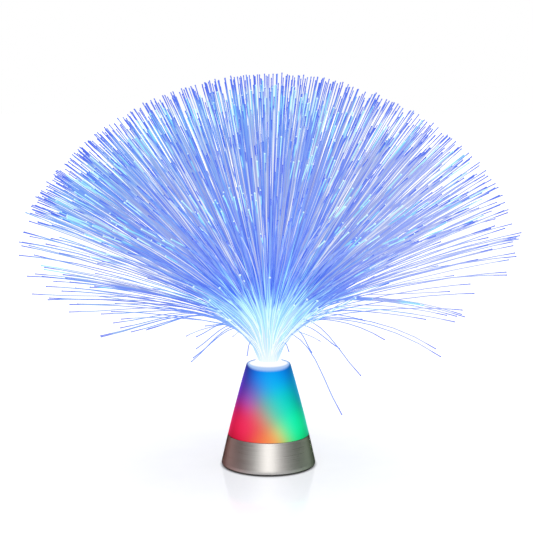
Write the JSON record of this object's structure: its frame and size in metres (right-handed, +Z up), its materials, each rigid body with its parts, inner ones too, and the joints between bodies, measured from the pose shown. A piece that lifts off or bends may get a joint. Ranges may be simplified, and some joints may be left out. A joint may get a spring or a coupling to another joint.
{
  "type": "fiber optic lamp",
  "caption": "Battery fiber optic lamp: a conical glowing diffuser on a brushed metal skirt, with a lift-out spray of light fibers, a switch and a battery door below.",
  "frame": {"origin": "on the lamp's axis at the underside of the feet", "axes": "+Z up along the lamp's axis; -Y is the front, as pictured; +X to the right"},
  "size_m": [0.428, 0.4289, 0.3429],
  "materials": {
    "brushed_metal": "brushed round the base",
    "frosted_diffuser": "frosted, lit from inside: blue at the top, red at the lower left, green at the lower right",
    "clear_plastic": "clear acrylic, glowing white at the mouth",
    "light_fiber": "clear acrylic fiber, glowing blue with brighter tips",
    "pan_plastic": "fine texture",
    "rubber": "matte",
    "screw_steel": "plated",
    "contact_steel": "nickel plated",
    "board": "solder mask",
    "switch_metal": "plated",
    "knob_plastic": "satin",
    "cell_jacket": "plain printed sleeve",
    "red_lens": "tinted epoxy",
    "green_lens": "tinted epoxy",
    "blue_lens": "tinted epoxy",
    "white_lens": "clear epoxy",
    "red_wire": "insulation",
    "black_wire": "insulation",
    "white_wire": "insulation"
  },
  "bodies": {
    "base": {"base_pan": "pan_plastic", "base_skirt": "brushed_metal", "diffuser_cone": "frosted_diffuser", "socket_tube": "clear_plastic", "led_board": "board", "led_red": "red_lens", "led_green": "green_lens", "led_blue": "blue_lens", "led_spray": "white_lens", "board_screw_1": "screw_steel", "board_screw_2": "screw_steel", "switch_case": "switch_metal", "cell_1": "cell_jacket", "cell_2": "cell_jacket", "cell_3": "cell_jacket", "spring_1": "contact_steel", "spring_2": "contact_steel", "spring_3": "contact_steel", "contact_positive": "contact_steel", "contact_negative": "contact_steel", "link_left": "contact_steel", "link_right": "contact_steel", "foot_1": "rubber", "foot_2": "rubber", "foot_3": "rubber", "foot_4": "rubber", "case_screw_1": "screw_steel", "case_screw_2": "screw_steel", "case_screw_3": "screw_steel", "case_screw_4": "screw_steel", "wire_red": "red_wire", "wire_black": "black_wire", "wire_white": "white_wire"},
    "power_switch": {"switch_knob": "knob_plastic"},
    "battery_door": {"battery_door": "pan_plastic"},
    "fiber_spray": {"bundle_ferrule": "clear_plastic", "tuft_01": "light_fiber", "tuft_02": "light_fiber", "tuft_03": "light_fiber", "tuft_04": "light_fiber", "tuft_05": "light_fiber", "tuft_06": "light_fiber", "tuft_07": "light_fiber", "tuft_08": "light_fiber", "tuft_09": "light_fiber", "tuft_10": "light_fiber", "tuft_11": "light_fiber", "tuft_12": "light_fiber", "tuft_13": "light_fiber", "tuft_14": "light_fiber", "tuft_15": "light_fiber", "tuft_16": "light_fiber", "tuft_17": "light_fiber", "tuft_18": "light_fiber", "tuft_19": "light_fiber"}
  },
  "joints": [
    {"name": "switch_slide", "type": "slide", "parent": "base", "child": "power_switch", "axis": [1, 0, 0], "range_m": [0, 0.004]},
    {"name": "door_hinge", "type": "hinge", "parent": "base", "child": "battery_door", "pos_m": [-0.02975, 0, 0.0018], "axis": [0, 1, 0], "range_deg": [0, 45]},
    {"name": "spray_lift", "type": "slide", "parent": "base", "child": "fiber_spray", "axis": [0, 0, 1], "range_m": [0, 0.07]}
  ]
}
